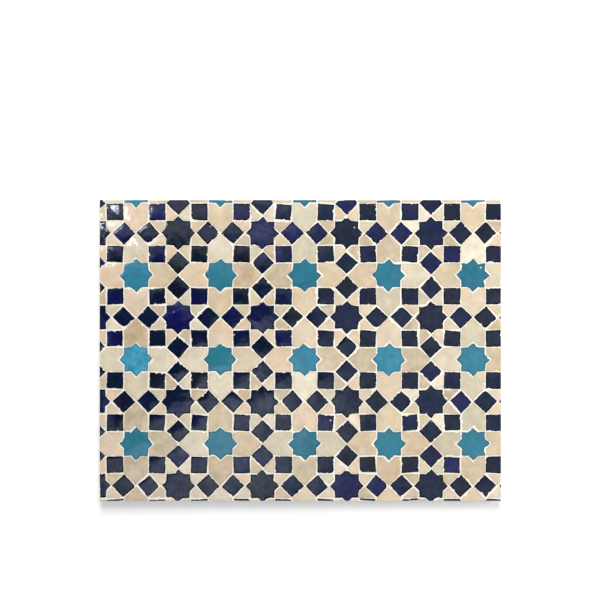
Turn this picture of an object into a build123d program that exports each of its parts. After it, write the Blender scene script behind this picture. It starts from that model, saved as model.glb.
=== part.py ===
from build123d import *
import os
from math import ceil, cos, pi, sin, sqrt

# A panel of hand-cut glazed mosaic tiles, cast face up into a bed of white plaster.
# It lies on its back: X runs along the long edge, Y up the face and Z out of the glaze.
# The origin is the centre of the back face. All sizes are in millimetres.

# Driving dimensions
panel_length = 600.0  # sawn edge to sawn edge, along X
panel_height = 450.0  # sawn edge to sawn edge, along Y
bed_thickness = 11.0  # plaster behind the tiles
tile_thickness = 11.0  # a fired tile, from its back to its glaze
square_side = 24.1  # a square tile's face, which sets the scale of the pattern
joint_width = 2.0  # plaster between two neighbouring tiles
joint_recess = 0.8  # how far the plaster in the joints lies below the glaze
glaze_arris = 0.5  # bevel around each glazed face
back_taper = 1.2  # how far the chiselled sides slope in, from the glaze to the back
pattern_shift_x = 6.5  # the middle turquoise star, to the right of the panel's centre
pattern_shift_y = -13.5  # the middle turquoise star, above the panel's centre
narrowest_cut = 2.0  # the narrowest strip of a tile that is kept at a sawn edge

# Setting out: the tiles and half a joint all round each fill the plane with no gaps
module = square_side + joint_width
half_star = module / sqrt(2)
pitch = 2 * (module + 2 * half_star)
glaze_level = bed_thickness + tile_thickness
plaster_level = glaze_level - joint_recess
half_joint = joint_width / 2
QUARTER_TURNS = (0, 90, 180, 270)


def star_outline():
    """An eight-pointed star about its own centre: two squares, one turned by 45 degrees."""
    notch_radius = half_star / cos(pi / 8)
    corners = []
    for eighth in range(8):
        tip_angle = eighth * pi / 4
        notch_angle = tip_angle + pi / 8
        corners.append(Vector(module * cos(tip_angle), module * sin(tip_angle)))
        corners.append(Vector(notch_radius * cos(notch_angle), notch_radius * sin(notch_angle)))
    return corners


def square_outline():
    """A square that meets one upright corner of the cobalt star at the origin."""
    near, far = half_star, half_star + module
    return [Vector(near, near), Vector(far, near), Vector(far, far), Vector(near, far)]


def diamond_outline():
    """A square on its corner that meets one tip of the cobalt star at the origin."""
    middle = module + half_star
    return [
        Vector(module, 0),
        Vector(middle, -half_star),
        Vector(middle + half_star, 0),
        Vector(middle, half_star),
    ]


def kite_outline():
    """The filler between the cobalt star at the origin, a diamond above it and a square beside it."""
    return [
        Vector(0, module),
        Vector(module - half_star, half_star),
        Vector(half_star, half_star),
        Vector(half_star, half_star + module),
    ]


def shield_outline():
    """The filler that takes one tip of the turquoise star at the origin into its notched end."""
    shoulder, point = half_star + module, 2 * half_star + module
    notch = module - half_star
    return [
        Vector(half_star, -half_star),
        Vector(shoulder, -half_star),
        Vector(point, 0),
        Vector(shoulder, half_star),
        Vector(half_star, half_star),
        Vector(half_star, notch),
        Vector(module, 0),
        Vector(half_star, -notch),
    ]


def mirrored(outline):
    """An outline reflected left to right, still anticlockwise."""
    return [Vector(-corner.X, corner.Y) for corner in reversed(outline)]


def inset(outline, distance):
    """An anticlockwise outline with every side moved inwards by the same distance."""
    moved = []
    for index, corner in enumerate(outline):
        side_in = (corner - outline[index - 1]).normalized()
        side_out = (outline[(index + 1) % len(outline)] - corner).normalized()
        inward_in = Vector(-side_in.Y, side_in.X)
        inward_out = Vector(-side_out.Y, side_out.X)
        mitre = (inward_in + inward_out) * (distance / (1 + inward_in.dot(inward_out)))
        moved.append(corner + mitre)
    return moved


def turned(outline, degrees, centre):
    """An outline turned about the origin and then moved to a star's centre."""
    return [corner.rotate(Axis.Z, degrees) + centre for corner in outline]


def solid_between(rings):
    """A flat-sided solid through rings of corners, from the lowest ring to the highest."""
    faces = [Face(Wire.make_polygon(rings[0])), Face(Wire.make_polygon(rings[-1]))]
    for low, high in zip(rings, rings[1:]):
        for index in range(len(low)):
            after = (index + 1) % len(low)
            corners = [low[index], low[after], high[after], high[index]]
            faces.append(Face(Wire.make_polygon(corners)))
    return Solid(Shell(faces))


def cut_tile(outline):
    """One whole tile: a chiselled body that narrows to its back, with a bevelled glazed face."""
    levels = (
        (bed_thickness, half_joint + back_taper),
        (glaze_level - glaze_arris, half_joint),
        (glaze_level, half_joint + glaze_arris),
    )
    return solid_between(
        [[corner + Vector(0, 0, level) for corner in inset(outline, gap)] for level, gap in levels]
    )


def star_centres(shift):
    """The centres of one colour of star over the whole panel, shifted by a share of the pitch."""
    columns = ceil(panel_length / pitch) + 1
    rows = ceil(panel_height / pitch) + 1
    return [
        Vector(
            pattern_shift_x + (column + shift) * pitch,
            pattern_shift_y + (row + shift) * pitch,
        )
        for row in range(-rows, rows + 1)
        for column in range(-columns, columns + 1)
    ]


def reach_inside(outline):
    """How far an outline reaches over the panel, and whether it crosses a sawn edge."""
    across = [corner.X for corner in outline]
    along = [corner.Y for corner in outline]
    overlap_x = min(max(across), panel_length / 2) - max(min(across), -panel_length / 2)
    overlap_y = min(max(along), panel_height / 2) - max(min(along), -panel_height / 2)
    whole = overlap_x >= max(across) - min(across) and overlap_y >= max(along) - min(along)
    return min(overlap_x, overlap_y), whole


def lay_tiles(outlines, centres, turns):
    """Every tile of one kind as it lies in the panel, and the whole tiles that shape its sockets."""
    laid, sockets = [], []
    smallest_volume = narrowest_cut**2 * tile_thickness
    for outline in outlines:
        blank = cut_tile(outline)
        face = inset(outline, half_joint)
        for centre in centres:
            for degrees in turns:
                reach, whole = reach_inside(turned(face, degrees, centre))
                if reach < narrowest_cut:
                    continue
                tile = Pos(centre.X, centre.Y) * Rot(0, 0, degrees) * blank
                pieces = [tile] if whole else (tile & panel_block).solids()
                kept = [piece for piece in pieces if piece.volume >= smallest_volume]
                laid += kept
                sockets += [tile] if kept else []
    return laid, sockets


# The block that the saw leaves: nothing of the panel lies outside it
panel_block = Box(
    panel_length, panel_height, glaze_level, align=(Align.CENTER, Align.CENTER, Align.MIN)
)

# The tiles, one node for each kind
turquoise_centres = star_centres(0.0)
cobalt_centres = star_centres(0.5)
tile_kinds = {
    "cobalt_stars": ([star_outline()], cobalt_centres, (0,)),
    "turquoise_stars": ([star_outline()], turquoise_centres, (0,)),
    "cobalt_squares": ([square_outline()], cobalt_centres, QUARTER_TURNS),
    "cobalt_diamonds": ([diamond_outline()], cobalt_centres, QUARTER_TURNS),
    "cream_shields": ([shield_outline()], turquoise_centres, QUARTER_TURNS),
    "cream_kites": (
        [kite_outline(), mirrored(kite_outline())],
        cobalt_centres,
        QUARTER_TURNS,
    ),
}

os.makedirs("parts", exist_ok=True)
all_sockets = []
for name, (outlines, centres, turns) in tile_kinds.items():
    laid, sockets = lay_tiles(outlines, centres, turns)
    all_sockets += sockets
    export_step(Compound(laid, label=name), f"parts/{name}.step")
    print(name, len(laid), "tiles")

# The plaster, cast round the backs and sides of the tiles and wiped below the glaze
plaster_block = Box(
    panel_length, panel_height, plaster_level, align=(Align.CENTER, Align.CENTER, Align.MIN)
)
plaster_bed = plaster_block - all_sockets
plaster_bed.label = "plaster_bed"
export_step(plaster_bed, "parts/plaster_bed.step")
print("plaster_bed", len(plaster_bed.solids()), "solid")
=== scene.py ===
import math

import bpy
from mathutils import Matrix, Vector


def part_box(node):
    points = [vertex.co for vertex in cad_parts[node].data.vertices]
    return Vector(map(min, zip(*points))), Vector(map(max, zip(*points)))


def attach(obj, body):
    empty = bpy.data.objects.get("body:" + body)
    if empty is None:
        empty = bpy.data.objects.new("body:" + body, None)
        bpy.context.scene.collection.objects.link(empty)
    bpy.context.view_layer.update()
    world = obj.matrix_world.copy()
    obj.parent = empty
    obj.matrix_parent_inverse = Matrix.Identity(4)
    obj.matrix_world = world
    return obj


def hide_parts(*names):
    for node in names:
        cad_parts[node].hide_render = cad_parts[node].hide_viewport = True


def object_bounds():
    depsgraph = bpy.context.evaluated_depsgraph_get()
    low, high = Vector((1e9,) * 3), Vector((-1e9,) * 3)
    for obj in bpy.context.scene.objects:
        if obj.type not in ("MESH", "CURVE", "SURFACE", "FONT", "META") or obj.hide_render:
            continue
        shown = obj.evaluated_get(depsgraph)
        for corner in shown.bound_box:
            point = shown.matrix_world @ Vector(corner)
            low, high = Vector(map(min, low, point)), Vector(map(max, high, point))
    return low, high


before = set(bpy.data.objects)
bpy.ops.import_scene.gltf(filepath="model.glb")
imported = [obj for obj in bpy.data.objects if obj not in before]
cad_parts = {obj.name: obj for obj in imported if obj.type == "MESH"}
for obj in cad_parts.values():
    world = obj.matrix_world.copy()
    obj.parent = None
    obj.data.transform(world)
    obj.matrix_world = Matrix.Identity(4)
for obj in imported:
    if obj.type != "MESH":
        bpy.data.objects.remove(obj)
cad_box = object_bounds()

# Cobalt stars: eight-pointed tiles of fired buff clay under a dark blue glaze, chiselled by hand.
# Every edge wanders, tips are blunted, and no two glazes came out of the kiln quite alike.
# They are laid face down with the other tiles, and the plaster cast over their backs holds them.
MM = 0.001
half_length, half_height, glaze_level = cad_box[1]
tile_back_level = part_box("cobalt_stars")[0].z
joint_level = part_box("plaster_bed")[1].z


def add(tree, kind, feeds, **settings):
    """One node of a tree, with its settings and a value or a feeding output for each input."""
    node = tree.nodes.new(kind)
    for setting, value in settings.items():
        setattr(node, setting, value)
    for socket, feed in feeds.items():
        if isinstance(feed, bpy.types.NodeSocket):
            tree.links.new(feed, node.inputs[socket])
        else:
            node.inputs[socket].default_value = feed
    return node


def calc(tree, operation, *terms):
    """The result of one sum on numbers."""
    return add(tree, "ShaderNodeMath", dict(enumerate(terms)), operation=operation).outputs[0]


def vector(tree, operation, *terms):
    """The result of one sum on vectors: a number for a length or a dot product, else a vector."""
    sockets = (0, 3) if operation == "SCALE" else range(len(terms))
    node = add(tree, "ShaderNodeVectorMath", dict(zip(sockets, terms)), operation=operation)
    plain_number = operation in ("DOT_PRODUCT", "LENGTH", "DISTANCE")
    return node.outputs["Value" if plain_number else "Vector"]


def stretch(tree, value, low, high, new_low=0.0, new_high=1.0):
    """A number moved from one range to another and held inside it."""
    terms = dict(enumerate((value, low, high, new_low, new_high)))
    return add(tree, "ShaderNodeMapRange", terms).outputs[0]


def new_tree(name, inputs):
    """An empty tree of geometry nodes, with a named input for each size."""
    kinds = {
        float: "NodeSocketFloat",
        int: "NodeSocketInt",
        bpy.types.Object: "NodeSocketObject",
        bpy.types.Material: "NodeSocketMaterial",
    }
    tree = bpy.data.node_groups.new(name, "GeometryNodeTree")
    tree.interface.new_socket("Geometry", in_out="INPUT", socket_type="NodeSocketGeometry")
    for label, kind in inputs.items():
        tree.interface.new_socket(label, in_out="INPUT", socket_type=kinds[kind])
    tree.interface.new_socket("Geometry", in_out="OUTPUT", socket_type="NodeSocketGeometry")
    return tree, tree.nodes.new("NodeGroupInput").outputs


def close_tree(tree, geometry, material):
    """The end of every tree: plain mesh, in its material."""
    real = add(tree, "GeometryNodeRealizeInstances", {0: geometry})
    covered = add(tree, "GeometryNodeSetMaterial", {"Geometry": real.outputs[0], "Material": material})
    add(tree, "NodeGroupOutput", {0: covered.outputs[0]})


def made_by(tree, name, start_mesh, sizes):
    """A piece made by a tree from a starting mesh, turned into plain mesh with no modifier left."""
    piece = bpy.data.objects.new(name, start_mesh)
    bpy.context.scene.collection.objects.link(piece)
    modifier = piece.modifiers.new(tree.name, "NODES")
    modifier.node_group = tree
    sockets = {item.name: item.identifier for item in tree.interface.items_tree if item.in_out == "INPUT"}
    for label, value in sizes.items():
        modifier[sockets[label]] = value
    bpy.context.view_layer.update()
    depsgraph = bpy.context.evaluated_depsgraph_get()
    mesh = bpy.data.meshes.new_from_object(piece.evaluated_get(depsgraph))
    piece.modifiers.remove(modifier)
    piece.data = mesh
    mesh.name = name
    return piece


chisel_inputs = {
    "Half Length": float,
    "Half Height": float,
    "Glaze Level": float,
    "Back Level": float,
    "Back Taper": float,
    "Edge Step": float,
    "Corner Skew": float,
    "Tip Radius": float,
    "Blunting": float,
    "Wander": float,
    "Chip Depth": float,
    "Corner Reach": float,
    "Joint Reach": float,
    "Turn": float,
    "Shift": float,
    "Least Size": float,
    "Most Size": float,
    "Crown Reach": float,
    "Lean": float,
    "Seed": int,
    "Glaze": bpy.types.Material,
}
chiselling, given = new_tree("chiselling", chisel_inputs)
whole_tile = 0.999
saw_reach = 0.2 * MM
largest_sliver = 1.5 * MM**2


def on_tile(value, data_type="FLOAT"):
    """A field averaged over each tile's outline."""
    node = add(chiselling, "GeometryNodeFieldOnDomain", {}, data_type=data_type, domain="CURVE")
    chiselling.links.new(value, node.inputs[0])
    return node.outputs[0]


def chance(identity, draw, low=0.0, high=1.0):
    """One random number for each tile or corner; the draw keeps the numbers apart."""
    seed = calc(chiselling, "ADD", given["Seed"], draw)
    feeds = {2: low, 3: high, "ID": identity, "Seed": seed}
    return add(chiselling, "FunctionNodeRandomValue", feeds, data_type="FLOAT").outputs[1]


def apart(value):
    """The three numbers of a vector."""
    return add(chiselling, "ShaderNodeSeparateXYZ", {0: value}).outputs


def together(x=0.0, y=0.0, z=0.0):
    """A vector from three numbers."""
    return add(chiselling, "ShaderNodeCombineXYZ", {0: x, 1: y, 2: z}).outputs[0]


def moved(geometry, **feeds):
    """Geometry with its points at new places."""
    inputs = {"Geometry": geometry}
    inputs.update({label.capitalize(): feed for label, feed in feeds.items()})
    return add(chiselling, "GeometryNodeSetPosition", inputs).outputs[0]


def kept(geometry, name, value, data_type="FLOAT", **where):
    """Geometry that carries a named value on its points, or on the selected ones."""
    feeds = {"Geometry": geometry, "Name": name, "Value": value}
    feeds.update({label.capitalize(): feed for label, feed in where.items()})
    node = add(chiselling, "GeometryNodeStoreNamedAttribute", feeds, data_type=data_type, domain="POINT")
    return node.outputs[0]


def carried(name, data_type="FLOAT"):
    """A named value that the points carry."""
    node = add(chiselling, "GeometryNodeInputNamedAttribute", {"Name": name}, data_type=data_type)
    return node.outputs[0]


def unsawn(place, label):
    """One where a point is clear of a sawn edge along one axis, and zero on it."""
    inside = calc(chiselling, "SUBTRACT", given[label], saw_reach)
    return calc(chiselling, "LESS_THAN", calc(chiselling, "ABSOLUTE", place), inside)


def sawn_off(place, label):
    """A place along one axis, held inside the sawn edges."""
    inside = calc(chiselling, "MINIMUM", place, given[label])
    return calc(chiselling, "MAXIMUM", inside, calc(chiselling, "MULTIPLY", given[label], -1.0))


# Outlines of the glazed faces as they were set out, all at one level
corner_weld = 0.01 * MM
least_upward = 0.3
merged = add(
    chiselling, "GeometryNodeMergeByDistance", {"Geometry": given["Geometry"], "Distance": corner_weld}
)
facing = apart(add(chiselling, "GeometryNodeInputNormal", {}).outputs[0])["Z"]
face = add(
    chiselling,
    "GeometryNodeDeleteGeometry",
    {"Geometry": merged.outputs[0], "Selection": calc(chiselling, "LESS_THAN", facing, least_upward)},
    domain="FACE",
)
position = add(chiselling, "GeometryNodeInputPosition", {}).outputs[0]
place = apart(position)
set_out = moved(face.outputs[0], position=together(place["X"], place["Y"]))
island = add(chiselling, "GeometryNodeInputMeshIsland", {}).outputs["Island Index"]
set_out = kept(set_out, "own face", island, "INT")
neighbours = add(chiselling, "GeometryNodeInputMeshEdgeNeighbors", {}).outputs[0]
rim_edges = calc(chiselling, "LESS_THAN", neighbours, 2.0)
outline = add(chiselling, "GeometryNodeMeshToCurve", {"Mesh": set_out, "Selection": rim_edges}).outputs[0]

# Each whole tile is cut a little large or small and laid a little turned and shifted, and its
# corners were marked out by eye
index = add(chiselling, "GeometryNodeInputIndex", {}).outputs[0]
tile = on_tile(index, "INT")
centre = on_tile(position, "FLOAT_VECTOR")
free_x = unsawn(place["X"], "Half Length")
free_y = unsawn(place["Y"], "Half Height")
free = calc(chiselling, "MULTIPLY", free_x, free_y)
free_ways = together(free_x, free_y)
whole = calc(chiselling, "GREATER_THAN", on_tile(free), whole_tile)
most_turn = calc(chiselling, "MULTIPLY", whole, given["Turn"])
turn = calc(chiselling, "MULTIPLY", most_turn, chance(tile, 1, -1.0))
turned = add(
    chiselling,
    "ShaderNodeVectorRotate",
    {"Vector": position, "Center": centre, "Angle": turn},
    rotation_type="Z_AXIS",
)
growth = calc(chiselling, "SUBTRACT", chance(tile, 8, given["Least Size"], given["Most Size"]), 1.0)
growth = calc(chiselling, "MULTIPLY", whole, growth)
grown = vector(chiselling, "SCALE", vector(chiselling, "SUBTRACT", turned.outputs[0], centre), growth)
shift = together(chance(tile, 9, -1.0), chance(tile, 10, -1.0))
shift = vector(chiselling, "SCALE", shift, calc(chiselling, "MULTIPLY", whole, given["Shift"]))
outline = moved(outline, position=turned.outputs[0], offset=vector(chiselling, "ADD", grown, shift))


def held(geometry, reach):
    """Outlines whose points are brought back to within reach of where their own tile was set out."""
    own_face = carried("own face", "INT")
    feeds = {"Geometry": set_out, "Group ID": own_face, "Sample Group ID": own_face}
    marked = add(chiselling, "GeometryNodeProximity", feeds, target_element="FACES").outputs
    astray = calc(chiselling, "MAXIMUM", calc(chiselling, "SUBTRACT", marked["Distance"], reach), 0.0)
    way_back = vector(chiselling, "SUBTRACT", marked["Position"], position)
    way_back = vector(chiselling, "NORMALIZE", way_back)
    return moved(geometry, offset=vector(chiselling, "SCALE", way_back, astray))


def run_to(neighbour):
    """How far a point is from the next one along its outline, or from the one before it."""
    other = add(chiselling, "GeometryNodeOffsetPointInCurve", {"Offset": neighbour}).outputs["Point Index"]
    there = add(
        chiselling,
        "GeometryNodeFieldAtIndex",
        {"Value": position, "Index": other},
        data_type="FLOAT_VECTOR",
        domain="POINT",
    )
    return vector(chiselling, "DISTANCE", position, there.outputs[0])


skew_share_of_run = 0.2
shortest_run = calc(chiselling, "MINIMUM", run_to(1), run_to(-1))
most_skew = calc(chiselling, "MULTIPLY", shortest_run, skew_share_of_run)
most_skew = calc(chiselling, "MINIMUM", given["Corner Skew"], most_skew)
skew = together(chance(index, 2, -1.0), chance(index, 3, -1.0))
skew = vector(chiselling, "SCALE", skew, calc(chiselling, "MULTIPLY", free, most_skew))
outline = held(moved(outline, offset=skew), given["Corner Reach"])

# Most corners are only just blunted, and a few have lost their tip
tip_points = 2
lost_tip_rarity = 20.0
lost_tip = calc(chiselling, "POWER", chance(index, 4), lost_tip_rarity)
blunting = calc(chiselling, "MULTIPLY", lost_tip, given["Blunting"])
blunting = calc(chiselling, "ADD", blunting, given["Tip Radius"])
outline = add(
    chiselling,
    "GeometryNodeFilletCurve",
    {
        "Curve": outline,
        "Count": tip_points,
        "Radius": calc(chiselling, "MULTIPLY", blunting, free),
        "Limit Radius": True,
    },
    mode="POLY",
).outputs[0]

# Each straight run is divided, so that it can wander and the corners stay where they are
cuts = calc(chiselling, "FLOOR", calc(chiselling, "DIVIDE", run_to(1), given["Edge Step"]))
outline = add(chiselling, "GeometryNodeSubdivideCurve", {"Curve": outline, "Cuts": cuts}).outputs[0]

# The chisel leaves edges that wander, and flakes that bite in from the edge
long_wander = 14 * MM
short_wander = 4.5 * MM
short_share = 0.75
flake_size = 5 * MM
flake_span = (0.62, 0.69)
flake_clearance = 0.4
tile_noise_step = 0.037
own_noise = together(z=calc(chiselling, "MULTIPLY", tile, tile_noise_step))
noise_place = vector(chiselling, "ADD", position, own_noise)
middle_grey = (0.5, 0.5, 0.5)


def edge_noise(wave, draw):
    """Noise along the edges, with waves of about this length."""
    feeds = {
        "Vector": noise_place,
        "W": calc(chiselling, "ADD", given["Seed"], draw),
        "Scale": 1 / wave,
        "Detail": 1.0,
    }
    return add(chiselling, "ShaderNodeTexNoise", feeds, noise_dimensions="4D").outputs


long_wave = vector(chiselling, "SUBTRACT", edge_noise(long_wander, 0.3)["Color"], middle_grey)
short_wave = vector(chiselling, "SUBTRACT", edge_noise(short_wander, 0.6)["Color"], middle_grey)
wander = vector(chiselling, "ADD", long_wave, vector(chiselling, "SCALE", short_wave, short_share))
wander = vector(chiselling, "SCALE", wander, given["Wander"])
bite = stretch(chiselling, edge_noise(flake_size, 0.9)[0], *flake_span)
corner_step = calc(chiselling, "MULTIPLY", given["Edge Step"], flake_clearance)
clear_of_corners = calc(chiselling, "GREATER_THAN", shortest_run, corner_step)
bite = calc(chiselling, "MULTIPLY", bite, calc(chiselling, "MULTIPLY", clear_of_corners, free))
to_middle = vector(chiselling, "SUBTRACT", centre, position)
inwards = vector(chiselling, "NORMALIZE", to_middle)
bite = vector(chiselling, "SCALE", inwards, calc(chiselling, "MULTIPLY", bite, given["Chip Depth"]))
edge_move = vector(chiselling, "MULTIPLY", vector(chiselling, "ADD", wander, bite), free_ways)
outline = moved(outline, offset=edge_move)

# No edge strays past the middle of its joint, or over a sawn face
outline = held(outline, given["Joint Reach"])
sawn_place = together(sawn_off(place["X"], "Half Length"), sawn_off(place["Y"], "Half Height"))
outline = moved(outline, position=sawn_place)

# Which way is out, square to the edge, and how far off the middle is, but never through a sawn face
tangent = add(chiselling, "GeometryNodeInputTangent", {}).outputs[0]
sideways = vector(chiselling, "CROSS_PRODUCT", tangent, (0.0, 0.0, 1.0))
from_middle = vector(chiselling, "SUBTRACT", position, centre)
handed = calc(chiselling, "SIGN", on_tile(vector(chiselling, "DOT_PRODUCT", sideways, from_middle)))
outward = vector(chiselling, "MULTIPLY", vector(chiselling, "SCALE", sideways, handed), free_ways)
inward_reach = calc(chiselling, "MINIMUM", vector(chiselling, "LENGTH", to_middle), given["Crown Reach"])
inward = vector(chiselling, "MULTIPLY", vector(chiselling, "SCALE", inwards, inward_reach), free_ways)
outline_facts = (
    ("outward", outward, "FLOAT_VECTOR"),
    ("inward", inward, "FLOAT_VECTOR"),
    ("middle", centre, "FLOAT_VECTOR"),
    ("tile", tile, "INT"),
)
for label, value, data_type in outline_facts:
    outline = kept(outline, label, value, data_type)

# The outlines become faces again, less the slivers where an outline crosses itself, and take what
# the outlines carried from the nearest point
filled = add(chiselling, "GeometryNodeFillCurve", {"Curve": outline, "Group ID": tile}, mode="NGONS")
face_area = add(chiselling, "GeometryNodeInputMeshFaceArea", {}).outputs[0]
sliver = calc(chiselling, "LESS_THAN", face_area, largest_sliver)
flat = add(
    chiselling,
    "GeometryNodeDeleteGeometry",
    {"Geometry": filled.outputs[0], "Selection": sliver},
    domain="FACE",
).outputs[0]
points = add(chiselling, "GeometryNodeCurveToPoints", {"Curve": outline}, mode="EVALUATED").outputs[0]
nearest = add(chiselling, "GeometryNodeSampleNearest", {"Geometry": points}, domain="POINT").outputs[0]
for label, _, data_type in outline_facts:
    sampled = add(
        chiselling,
        "GeometryNodeSampleIndex",
        {"Geometry": points, "Value": carried(label, data_type), "Index": nearest},
        data_type=data_type,
        domain="POINT",
    )
    flat = kept(flat, label, sampled.outputs[0], data_type)

# The body is raised in rings from the back: the sloping sides, the rounded arris and the crown.
# Each ring has its depth below the crown, its step out square to the edge, its share of the crown's
# reach towards the middle, and how much it counts as the rim.
crown_drop = 0.4 * MM
ring_weld = 0.002 * MM
sharpest_smooth_fold = math.radians(50)
arris_rings = (
    (0.8 * MM, 0.15 * MM, 0.0, 1.0),
    (0.25 * MM, 0.12 * MM, 0.0, 1.0),
    (0.06 * MM, -0.05 * MM, 0.0, 1.0),
    (0.03 * MM, -0.25 * MM, 0.0, 1.0),
    (0.02 * MM, -0.25 * MM, 0.08, 1.0),
    (0.01 * MM, -0.25 * MM, 0.11, 0.6),
    (0.0, -0.25 * MM, 0.15, 0.0),
)
crown_level = calc(chiselling, "SUBTRACT", given["Glaze Level"], crown_drop)


def step(up, out, share=0.0):
    """A move by this much up, this much square to the edge, and this share of the crown's reach."""
    sideways_step = vector(chiselling, "SCALE", carried("outward", "FLOAT_VECTOR"), out)
    inward_step = vector(chiselling, "SCALE", carried("inward", "FLOAT_VECTOR"), share)
    level_step = vector(chiselling, "ADD", sideways_step, inward_step)
    return vector(chiselling, "ADD", level_step, together(z=up))


last_level, last_share = given["Back Level"], 0.0
last_out = calc(chiselling, "MULTIPLY", given["Back Taper"], -1.0)
back = moved(flat, offset=step(last_level, last_out))
back = kept(back, "rim", 1.0)
body = back
top = None
for depth, out, share, rim in arris_rings:
    feeds = {"Mesh": body, "Offset Scale": 0.0}
    if top:
        feeds["Selection"] = top
    extruded = add(chiselling, "GeometryNodeExtrudeMesh", feeds, mode="FACES")
    body, top = extruded.outputs["Mesh"], extruded.outputs["Top"]
    level = calc(chiselling, "SUBTRACT", crown_level, depth)
    rise = calc(chiselling, "SUBTRACT", level, last_level)
    widening = calc(chiselling, "SUBTRACT", out, last_out)
    body = moved(body, selection=top, offset=step(rise, widening, share - last_share))
    body = kept(body, "rim", rim, selection=top)
    last_level, last_out, last_share = level, out, share
under = add(chiselling, "GeometryNodeFlipFaces", {"Mesh": back}).outputs[0]
joined = add(chiselling, "GeometryNodeJoinGeometry", {})
chiselling.links.new(body, joined.inputs[0])
chiselling.links.new(under, joined.inputs[0])
body = add(
    chiselling, "GeometryNodeMergeByDistance", {"Geometry": joined.outputs[0], "Distance": ring_weld}
).outputs[0]

# Each tile has its own tone, and no tile beds down quite level
own_tile = carried("tile", "INT")
body = kept(body, "tone", chance(own_tile, 5))
lean = together(chance(own_tile, 6, -1.0), chance(own_tile, 7, -1.0))
lean = vector(chiselling, "SCALE", lean, given["Lean"])
reach = vector(chiselling, "SUBTRACT", position, carried("middle", "FLOAT_VECTOR"))
tip_up = vector(chiselling, "DOT_PRODUCT", lean, reach)
height_share = stretch(chiselling, place["Z"], given["Back Level"], crown_level)
tip_up = calc(chiselling, "MULTIPLY", tip_up, height_share)
highest = calc(chiselling, "SUBTRACT", given["Glaze Level"], place["Z"])
body = moved(body, offset=together(z=calc(chiselling, "MINIMUM", tip_up, highest)))
for label, _, _ in outline_facts:
    body = add(chiselling, "GeometryNodeRemoveAttribute", {"Geometry": body, "Name": label}).outputs[0]
fold = add(chiselling, "GeometryNodeInputMeshEdgeAngle", {}).outputs[0]
body = add(chiselling, "GeometryNodeSetShadeSmooth", {"Geometry": body}, domain="FACE").outputs[0]
body = add(
    chiselling,
    "GeometryNodeSetShadeSmooth",
    {"Geometry": body, "Shade Smooth": calc(chiselling, "LESS_THAN", fold, sharpest_smooth_fold)},
    domain="EDGE",
).outputs[0]
close_tree(chiselling, body, given["Glaze"])


def linear(red, green, blue):
    """A colour as a screen shows it, from 0 to 255, as the light that it sends back."""
    shares = [channel / 255 for channel in (red, green, blue)]
    return (*(s / 12.92 if s <= 0.04045 else ((s + 0.055) / 1.055) ** 2.4 for s in shares), 1.0)


def mixed(tree, factor, first, second):
    """Two colours blended."""
    feeds = {0: factor, 6: first, 7: second}
    return add(tree, "ShaderNodeMix", feeds, data_type="RGBA").outputs[2]


def new_material(name):
    """A material with nothing in it but its shader, and that shader."""
    material = bpy.data.materials.new(name)
    material.use_nodes = True
    return material, material.node_tree, material.node_tree.nodes["Principled BSDF"]


def noise(tree, place, wave, own=0.0, detail=2.0, roughness=0.5):
    """Noise with waves of about this length; own keeps the noise of one tile apart from the next."""
    feeds = {"Vector": place, "W": own, "Scale": 1 / wave, "Detail": detail, "Roughness": roughness}
    return add(tree, "ShaderNodeTexNoise", feeds, noise_dimensions="4D").outputs[0]


# What every glaze has in common: the clay under it, the size of each kind of patch, and how far the
# patches sway its colour and gloss
clay = linear(210, 184, 150)
clay_roughness = 0.85
fleck_dullness = 0.6
glaze_film = 0.9 * MM
glaze_relief = 0.06 * MM
peel_share = 0.11
gloss_span = (0.02, 0.05)
haze_span = (0.3, 0.7)
most_noise = (0.3, 0.7)
cloud_span = (0.42, 0.66)
chip_span = (0.6, 0.66)
chipped_rim = (0.9, 1.0)
largest_fleck = 0.18
fleck_wobble = 0.05
grain_span = (0.8, 1.1)
tone_noise_step = 40.0
pool_size = 16 * MM
ripple_size = 13 * MM
haze_size = 9 * MM
fleck_spacing = 9 * MM
gloss_size = 7 * MM
mottle_size = 4 * MM
chip_size = 3 * MM
peel_size = 1.8 * MM
clay_grain = 1.5 * MM
fleck_edge = 1.2 * MM


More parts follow.
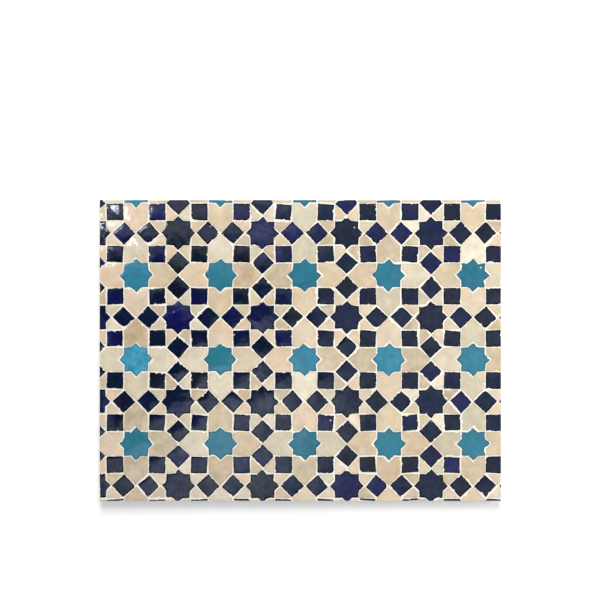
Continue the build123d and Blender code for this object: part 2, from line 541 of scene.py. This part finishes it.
def glaze_material(
    name,
    tones,
    clouds,
    cloud_size,
    cloud_share,
    pooling,
    mottling,
    rim_painted_shade,
    rim_shade_and_gloss_loss,
    fleck_and_glint,
    fleck_and_glint_share,
):
    """A fired glaze over clay: tile tones, clouds, painted shade at the rims, chips, flecks and painted
    glints.
    """
    material, tree, shader = new_material(name)
    place = add(tree, "ShaderNodeTexCoord", {}).outputs["Object"]
    tone = add(tree, "ShaderNodeAttribute", {}, attribute_name="tone").outputs["Fac"]
    rim = add(tree, "ShaderNodeAttribute", {}, attribute_name="rim").outputs["Fac"]
    own = calc(tree, "MULTIPLY", tone, tone_noise_step)

    # Colour of the glaze, tile by tile and cloud by cloud
    ramp = add(tree, "ShaderNodeValToRGB", {0: tone})
    ramp.color_ramp.elements.remove(ramp.color_ramp.elements[1])
    for number, colour in enumerate(tones):
        spot = number / (len(tones) - 1)
        stop = ramp.color_ramp.elements.new(spot) if number else ramp.color_ramp.elements[0]
        stop.position = spot
        stop.color = colour
    colour = ramp.outputs[0]
    for number, tint in enumerate(clouds):
        drift = calc(tree, "ADD", own, 7.0 * number)
        cloud = stretch(tree, noise(tree, place, cloud_size, drift), *cloud_span)
        colour = mixed(tree, calc(tree, "MULTIPLY", cloud, cloud_share), colour, tint)
    pool = noise(tree, place, pool_size, calc(tree, "ADD", own, 3.0))
    pool = stretch(tree, pool, *most_noise, 1 - pooling, 1 + pooling)
    mottle = noise(tree, place, mottle_size, own, detail=3.0, roughness=0.6)
    mottle = stretch(tree, mottle, *most_noise, 1 - mottling, 1 + mottling)
    colour = vector(tree, "SCALE", colour, calc(tree, "MULTIPLY", pool, mottle))
    # Painted shade: each tile darkens towards its rim colour along the rounded arris
    colour = mixed(tree, calc(tree, "MULTIPLY", rim, rim_shade_and_gloss_loss), colour, rim_painted_shade)

    # Flecks on a few tiles: pale ones on blue glazes, partly chips and partly painted glints; brown stains
    # on cream
    cells = add(tree, "ShaderNodeTexVoronoi", {"Vector": place, "Scale": 1 / fleck_spacing})
    luck = add(tree, "ShaderNodeSeparateColor", {0: cells.outputs["Color"]}).outputs
    size = stretch(tree, luck[0], 1 - fleck_and_glint_share, 1.0, 0.0, largest_fleck)
    wobble = stretch(tree, noise(tree, place, fleck_edge), *most_noise, -fleck_wobble, fleck_wobble)
    fleck_and_glint_spots = calc(tree, "LESS_THAN", calc(tree, "ADD", cells.outputs["Distance"], wobble), size)
    colour = mixed(tree, fleck_and_glint_spots, colour, fleck_and_glint)

    # The arris is chipped to the clay here and there, and the sides are bare clay
    chipped = stretch(tree, noise(tree, place, chip_size, own), *chip_span)
    chipped = calc(tree, "MULTIPLY", stretch(tree, rim, *chipped_rim), chipped)
    depth = add(tree, "ShaderNodeSeparateXYZ", {0: place}).outputs["Z"]
    bare = calc(tree, "LESS_THAN", depth, glaze_level - crown_drop - glaze_film)
    bare = calc(tree, "MAXIMUM", bare, chipped)
    grain = stretch(tree, noise(tree, place, clay_grain, detail=4.0), *most_noise, *grain_span)
    colour = mixed(tree, bare, colour, vector(tree, "SCALE", clay[:3], grain))

    # Gloss, which is hazy in patches, dull on bare clay and lost at the rims
    gloss = stretch(tree, noise(tree, place, gloss_size, own), *most_noise, *gloss_span)
    dull = calc(tree, "MAXIMUM", bare, calc(tree, "MULTIPLY", fleck_and_glint_spots, fleck_dullness))
    roughness = stretch(tree, dull, 0.0, 1.0, gloss, clay_roughness)
    haze = noise(tree, place, haze_size, calc(tree, "ADD", own, 5.0), detail=4.0, roughness=0.65)
    haze = stretch(tree, haze, *most_noise, *haze_span)
    glassy = stretch(tree, calc(tree, "MULTIPLY", rim, rim_shade_and_gloss_loss), 0.0, 1.0, haze, 0.0)

    # Ripples in the glaze, and its orange peel
    ripple = noise(tree, place, ripple_size, own, detail=1.5)
    peel = noise(tree, place, peel_size, own, detail=1.0)
    height = calc(tree, "ADD", ripple, calc(tree, "MULTIPLY", peel, peel_share))
    bump = add(tree, "ShaderNodeBump", {"Height": height, "Strength": 1.0, "Distance": glaze_relief})
    tree.links.new(colour, shader.inputs["Base Color"])
    tree.links.new(roughness, shader.inputs["Roughness"])
    tree.links.new(glassy, shader.inputs["Specular IOR Level"])
    tree.links.new(bump.outputs[0], shader.inputs["Normal"])
    return material


cobalt_glaze = glaze_material(
    "cobalt glaze",
    tones=(
        linear(27, 30, 36),
        linear(14, 21, 35),
        linear(11, 20, 46),
        linear(12, 23, 58),
        linear(13, 27, 50),
        linear(14, 20, 76),
        linear(24, 23, 94),
    ),
    clouds=(linear(24, 20, 68), linear(10, 34, 46)),
    cloud_size=11 * MM,
    cloud_share=0.6,
    pooling=0.2,
    mottling=0.3,
    # rims darkened towards this colour as painted shade
    rim_painted_shade=linear(3, 4, 9),
    rim_shade_and_gloss_loss=0.95,
    # pale flecks, partly chips and partly painted glints
    fleck_and_glint=linear(206, 198, 184),
    fleck_and_glint_share=0.045,
)
common_hand = {
    "Half Length": half_length,
    "Half Height": half_height,
    "Glaze Level": glaze_level,
    "Back Level": tile_back_level,
    "Back Taper": 1.2 * MM,
    "Edge Step": 1.9 * MM,
    "Tip Radius": 0.4 * MM,
    "Wander": 1.7 * MM,
    "Chip Depth": 1.7 * MM,
    "Corner Reach": 0.7 * MM,
    "Joint Reach": 0.8 * MM,
    "Shift": 0.55 * MM,
    "Crown Reach": 16.0 * MM,
    "Lean": 0.007,
}


def lay_tiles(node, name, hand):
    """One kind of tile: chiselled from the node's setting-out, then put in the node's place."""
    tiles = made_by(chiselling, name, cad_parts[node].data.copy(), {**common_hand, **hand})
    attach(tiles, "root")
    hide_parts(node)
    return tiles


cobalt_star_tiles = lay_tiles(
    "cobalt_stars",
    "chiselled_cobalt_stars",
    {
        "Corner Skew": 0.6 * MM,
        "Blunting": 5.0 * MM,
        "Turn": 0.05,
        "Least Size": 1.0,
        "Most Size": 1.06,
        "Seed": 11,
        "Glaze": cobalt_glaze,
    },
)

# Turquoise stars: the same eight-pointed cut from tiles fired with a copper glaze.
# The copper gives each tile its own colour, from deep teal to sky blue.
turquoise_glaze = glaze_material(
    "turquoise glaze",
    tones=(
        linear(22, 98, 118),
        linear(32, 112, 136),
        linear(46, 122, 142),
        linear(52, 126, 148),
        linear(44, 120, 142),
        linear(50, 130, 158),
        linear(84, 170, 208),
    ),
    clouds=(linear(60, 128, 144), linear(30, 120, 154)),
    cloud_size=11 * MM,
    cloud_share=0.4,
    pooling=0.1,
    mottling=0.08,
    # rims darkened towards this colour as painted shade
    rim_painted_shade=linear(18, 84, 102),
    rim_shade_and_gloss_loss=0.6,
    # white flecks, painted glints
    fleck_and_glint=linear(226, 224, 214),
    fleck_and_glint_share=0.04,
)
turquoise_star_tiles = lay_tiles(
    "turquoise_stars",
    "chiselled_turquoise_stars",
    {
        "Corner Skew": 0.6 * MM,
        "Blunting": 6.0 * MM,
        "Turn": 0.05,
        "Least Size": 1.0,
        "Most Size": 1.06,
        "Seed": 23,
        "Glaze": turquoise_glaze,
    },
)

# Cobalt squares: small tiles that stand square round each cobalt star, four to a star.
# They are cut from the same blue stock, and a few have lost a corner to the chisel.
cobalt_square_tiles = lay_tiles(
    "cobalt_squares",
    "chiselled_cobalt_squares",
    {
        "Corner Skew": 1.0 * MM,
        "Blunting": 7.0 * MM,
        "Turn": 0.1,
        "Least Size": 0.98,
        "Most Size": 1.12,
        "Seed": 37,
        "Glaze": cobalt_glaze,
    },
)

# Cobalt diamonds: the same small squares laid on their corner, one at each upright and level
# tip of a cobalt star. Their points nearly touch the star's.
cobalt_diamond_tiles = lay_tiles(
    "cobalt_diamonds",
    "chiselled_cobalt_diamonds",
    {
        "Corner Skew": 1.0 * MM,
        "Blunting": 7.0 * MM,
        "Turn": 0.1,
        "Least Size": 0.98,
        "Most Size": 1.12,
        "Seed": 41,
        "Glaze": cobalt_glaze,
    },
)

# Cream shields: the large pale tiles, whose notched end takes one tip of a turquoise star.
# A thin white tin glaze lets the pink and buff of the clay come through in clouds.
cream_glaze = glaze_material(
    "cream glaze",
    tones=(
        linear(248, 238, 216),
        linear(222, 211, 188),
        linear(233, 204, 175),
        linear(211, 207, 182),
        linear(192, 174, 146),
        linear(226, 206, 172),
        linear(192, 167, 134),
    ),
    clouds=(linear(236, 204, 177), linear(211, 209, 184)),
    cloud_size=10 * MM,
    cloud_share=0.45,
    pooling=0.1,
    mottling=0.045,
    # rims darkened towards this colour as painted shade
    rim_painted_shade=linear(210, 190, 160),
    rim_shade_and_gloss_loss=0.25,
    fleck_and_glint=linear(150, 124, 92),
    fleck_and_glint_share=0.03,
)
cream_shield_tiles = lay_tiles(
    "cream_shields",
    "chiselled_cream_shields",
    {
        "Corner Skew": 0.6 * MM,
        "Blunting": 5.0 * MM,
        "Turn": 0.025,
        "Least Size": 1.0,
        "Most Size": 1.04,
        "Seed": 53,
        "Glaze": cream_glaze,
    },
)

# Cream kites: small pale fillers in the gaps between a cobalt star, its squares and its diamonds.
# They come from the same cream stock, cut in left and right hands.
cream_kite_tiles = lay_tiles(
    "cream_kites",
    "chiselled_cream_kites",
    {
        "Corner Skew": 0.5 * MM,
        "Blunting": 4.0 * MM,
        "Turn": 0.04,
        "Least Size": 1.0,
        "Most Size": 1.06,
        "Seed": 67,
        "Glaze": cream_glaze,
    },
)

# Plaster bed: white plaster poured over the backs of the tiles and run into the joints between them.
# It is one casting, sawn flush with the tiles at the panel's edges and screeded flat at the back.
plaster_inputs = {
    "Length": float,
    "Height": float,
    "Joint Level": float,
    "Columns": int,
    "Rows": int,
    "Saw Overrun": float,
    "Plaster": bpy.types.Material,
}
tile_kinds = (
    cobalt_star_tiles,
    turquoise_star_tiles,
    cobalt_square_tiles,
    cobalt_diamond_tiles,
    cream_shield_tiles,
    cream_kite_tiles,
)
for tiles in tile_kinds:
    plaster_inputs[tiles.name] = bpy.types.Object
casting, poured = new_tree("casting", plaster_inputs)
block_size = add(
    casting,
    "ShaderNodeCombineXYZ",
    {0: poured["Length"], 1: poured["Height"], 2: poured["Joint Level"]},
)
cells = {"Vertices X": poured["Columns"], "Vertices Y": poured["Rows"]}
block = add(casting, "GeometryNodeMeshCube", {"Size": block_size.outputs[0], **cells})
lift = add(casting, "ShaderNodeCombineXYZ", {2: calc(casting, "MULTIPLY", poured["Joint Level"], 0.5)})
block = add(
    casting, "GeometryNodeTransform", {"Geometry": block.outputs[0], "Translation": lift.outputs[0]}
)
here = add(casting, "GeometryNodeInputPosition", {}).outputs[0]
ways = add(casting, "ShaderNodeSeparateXYZ", {0: here}).outputs
overruns = []
for axis, label in (("X", "Length"), ("Y", "Height")):
    edge = calc(casting, "SUBTRACT", calc(casting, "MULTIPLY", poured[label], 0.5), saw_reach)
    at_edge = calc(casting, "GREATER_THAN", calc(casting, "ABSOLUTE", ways[axis]), edge)
    side = calc(casting, "SIGN", ways[axis])
    outwards = calc(casting, "MULTIPLY", at_edge, side)
    overruns.append(calc(casting, "MULTIPLY", outwards, poured["Saw Overrun"]))
overrun = add(casting, "ShaderNodeCombineXYZ", {0: overruns[0], 1: overruns[1]}).outputs[0]
bed = add(
    casting,
    "GeometryNodeMeshBoolean",
    {"Mesh 1": block.outputs[0]},
    operation="DIFFERENCE",
    solver="MANIFOLD",
)
for tiles in tile_kinds:
    stood = add(casting, "GeometryNodeObjectInfo", {"Object": poured[tiles.name]}).outputs["Geometry"]
    socket = add(casting, "GeometryNodeSetPosition", {"Geometry": stood, "Offset": overrun}).outputs[0]
    casting.links.new(socket, bed.inputs["Mesh 2"])
bed = bed.outputs[0]
for label in ("rim", "tone"):
    bed = add(casting, "GeometryNodeRemoveAttribute", {"Geometry": bed, "Name": label}).outputs[0]
bed = add(casting, "GeometryNodeSetShadeSmooth", {"Geometry": bed, "Shade Smooth": False}, domain="FACE")
close_tree(casting, bed.outputs[0], poured["Plaster"])

# The joints were wiped white, and the sawn sides and screeded back are painted greyer: painted shade
# against glare
stain_size = 60 * MM
stain_span = (0.35, 0.7)
grit_size = 1.2 * MM
grit_noise = (0.25, 0.75)
grit_span = (0.92, 1.04)
pit_size = 2.0 * MM
pit_depth = 0.3 * MM
clean_white = linear(255, 253, 247)
stained_white = linear(250, 245, 232)
sides_painted_shade_grey = linear(226, 219, 206)
plaster, tree, shader = new_material("white plaster")
place = add(tree, "ShaderNodeTexCoord", {}).outputs["Object"]
stain = stretch(tree, noise(tree, place, stain_size, detail=5.0, roughness=0.6), *stain_span)
colour = mixed(tree, stain, clean_white, stained_white)
depth = add(tree, "ShaderNodeSeparateXYZ", {0: place}).outputs["Z"]
sawn = calc(tree, "LESS_THAN", depth, joint_level - saw_reach)
# Painted shade: the sides and back take the greyer copy of the plaster colour
colour = mixed(tree, sawn, colour, sides_painted_shade_grey)
grit = noise(tree, place, grit_size, detail=4.0, roughness=0.7)
grit = stretch(tree, grit, *grit_noise, *grit_span)
tree.links.new(vector(tree, "SCALE", colour, grit), shader.inputs["Base Color"])
shader.inputs["Roughness"].default_value = 0.9
height = noise(tree, place, pit_size, detail=5.0, roughness=0.65)
bump = add(tree, "ShaderNodeBump", {"Height": height, "Strength": 0.7, "Distance": pit_depth})
tree.links.new(bump.outputs[0], shader.inputs["Normal"])

block_cell = 15 * MM
plaster_sizes = {
    "Length": 2 * half_length,
    "Height": 2 * half_height,
    "Joint Level": joint_level,
    "Columns": round(2 * half_length / block_cell) + 1,
    "Rows": round(2 * half_height / block_cell) + 1,
    "Saw Overrun": 1.0 * MM,
    "Plaster": plaster,
}
for tiles in tile_kinds:
    plaster_sizes[tiles.name] = tiles
plaster_bed = made_by(casting, "cast_plaster_bed", bpy.data.meshes.new("plaster"), plaster_sizes)
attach(plaster_bed, "root")
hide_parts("plaster_bed")

# Floor: a plain white studio floor that the panel lies on, which keeps the panel's soft shadow.
floor_half = 12.0
floor_white = 0.88
floor_glow = 0.34
floor_mesh = bpy.data.meshes.new("floor")
floor_corners = [(floor_half * x, floor_half * y, 0.0) for x, y in ((-1, -1), (1, -1), (1, 1), (-1, 1))]
floor_mesh.from_pydata(floor_corners, [], [(0, 1, 2, 3)])
floor = bpy.data.objects.new("floor", floor_mesh)
bpy.context.scene.collection.objects.link(floor)
white_floor, tree, shader = new_material("white floor")
shader.inputs["Base Color"].default_value = (floor_white, floor_white, floor_white, 1.0)
shader.inputs["Roughness"].default_value = 1.0
shader.inputs["Specular IOR Level"].default_value = 0.0
path = add(tree, "ShaderNodeLightPath", {}).outputs
mirrored = calc(tree, "MAXIMUM", path["Is Glossy Ray"], path["Is Transmission Ray"])
seen = calc(tree, "MAXIMUM", path["Is Camera Ray"], mirrored)
shader.inputs["Emission Color"].default_value = (1.0, 1.0, 1.0, 1.0)
tree.links.new(calc(tree, "MULTIPLY", seen, floor_glow), shader.inputs["Emission Strength"])
floor_mesh.materials.append(white_floor)

# Light: a large soft lamp beyond the upper edge, which throws the shadow down the picture, a small one
# on the right and a dim room. The glaze mirrors the room's ceiling, which is dark over the panel's
# left, pale below that, and sparkles over its top left corner.
world = bpy.data.worlds.new("studio")
bpy.context.scene.world = world
world.use_nodes = True
tree = world.node_tree
sky = tree.nodes["Background"]
away = add(tree, "ShaderNodeTexCoord", {}).outputs["Generated"]
ways = add(tree, "ShaderNodeSeparateXYZ", {0: away}).outputs
lowest_upright = 0.05
upright = calc(tree, "MAXIMUM", ways["Z"], lowest_upright)
slant = vector(tree, "SCALE", away, calc(tree, "DIVIDE", 1.0, upright))
slant = vector(tree, "MULTIPLY", slant, (1.0, 1.0, 0.0))


def sky_noise(scale, detail):
    """Noise over the directions of the sky."""
    feeds = {"Vector": away, "Scale": scale, "Detail": detail}
    return add(tree, "ShaderNodeTexNoise", feeds).outputs[0]


broken_by = 0.15
broken = stretch(tree, sky_noise(scale=30.0, detail=2.0), *most_noise, -broken_by, broken_by)
pool_edge = (1.25, 0.75)


def ceiling_pool(middle, half_size):
    """One inside a patch of ceiling and zero well outside it, with a broken edge between."""
    off = vector(tree, "DIVIDE", vector(tree, "SUBTRACT", slant, (*middle, 0.0)), (*half_size, 1.0))
    far = calc(tree, "ADD", vector(tree, "LENGTH", off), broken)
    return stretch(tree, far, *pool_edge)


room_light = 0.14
ceiling_light = 0.53
pale_light = 0.6
corner_light = 0.5
dark_share = 0.02
patch_span = (0.75, 1.25)
sparkle_span = (0.55, 0.61)
sparkle_light = 100.0
level = calc(tree, "MULTIPLY", ceiling_pool((0.0, -0.03), (0.25, 0.2)), ceiling_light)
level = calc(tree, "ADD", level, room_light)
pale = calc(tree, "MULTIPLY", ceiling_pool((-0.043, -0.076), (0.062, 0.046)), pale_light)
level = calc(tree, "ADD", level, pale)
corner = calc(tree, "MULTIPLY", ceiling_pool((-0.07, 0.042), (0.065, 0.018)), corner_light)
level = calc(tree, "ADD", level, corner)
dark = ceiling_pool((-0.046, -0.01), (0.06, 0.02))
dark = calc(tree, "MAXIMUM", dark, ceiling_pool((-0.078, -0.02), (0.045, 0.039)))
dark = calc(tree, "MAXIMUM", dark, ceiling_pool((-0.096, -0.045), (0.024, 0.034)))
level = calc(tree, "MULTIPLY", level, stretch(tree, dark, 0.0, 1.0, 1.0, dark_share))
patches = sky_noise(scale=16.0, detail=2.0)
level = calc(tree, "MULTIPLY", level, stretch(tree, patches, *most_noise, *patch_span))
sparkle = stretch(tree, sky_noise(scale=300.0, detail=1.0), *sparkle_span)
sparkle = calc(tree, "MULTIPLY", sparkle, sparkle_light)
sparkle = calc(tree, "MULTIPLY", sparkle, ceiling_pool((-0.103, 0.049), (0.011, 0.012)))
sky_blue = (0.88, 0.97, 1.15, 1.0)
sky.inputs["Color"].default_value = sky_blue
tree.links.new(calc(tree, "ADD", level, sparkle), sky.inputs["Strength"])
lamp_white = (1.02, 1.0, 0.95)


def area_lamp(name, spot, size, power):
    """A soft rectangular lamp at a spot, facing the middle of the panel, that no glaze mirrors."""
    lamp = bpy.data.lights.new(name, "AREA")
    lamp.shape = "RECTANGLE"
    lamp.size, lamp.size_y = size
    lamp.energy = power
    lamp.color = lamp_white
    holder = bpy.data.objects.new(name, lamp)
    holder.visible_glossy = False
    holder.location = spot
    holder.rotation_euler = Vector(spot).to_track_quat("Z", "Y").to_euler()
    bpy.context.scene.collection.objects.link(holder)


area_lamp("key lamp", spot=(0.0, 2.5, 2.9), size=(1.6, 2.65), power=138.0)
area_lamp("side lamp", spot=(1.2, 0.0, 1.0), size=(0.5, 0.5), power=8.0)

# Camera: square above the panel, far enough back that its sides hardly show
picture_width = 0.8971
picture_middle = (-0.0005, 0.0754)
camera_height = 3.0
camera_data = bpy.data.cameras.new("camera")
camera_data.sensor_width = 36.0
camera_data.lens = camera_data.sensor_width * camera_height / picture_width
camera = bpy.data.objects.new("camera", camera_data)
camera.location = (*picture_middle, glaze_level + camera_height)
bpy.context.scene.collection.objects.link(camera)
bpy.context.scene.camera = camera
bpy.context.scene.view_settings.view_transform = "Standard"

bpy.context.view_layer.update()
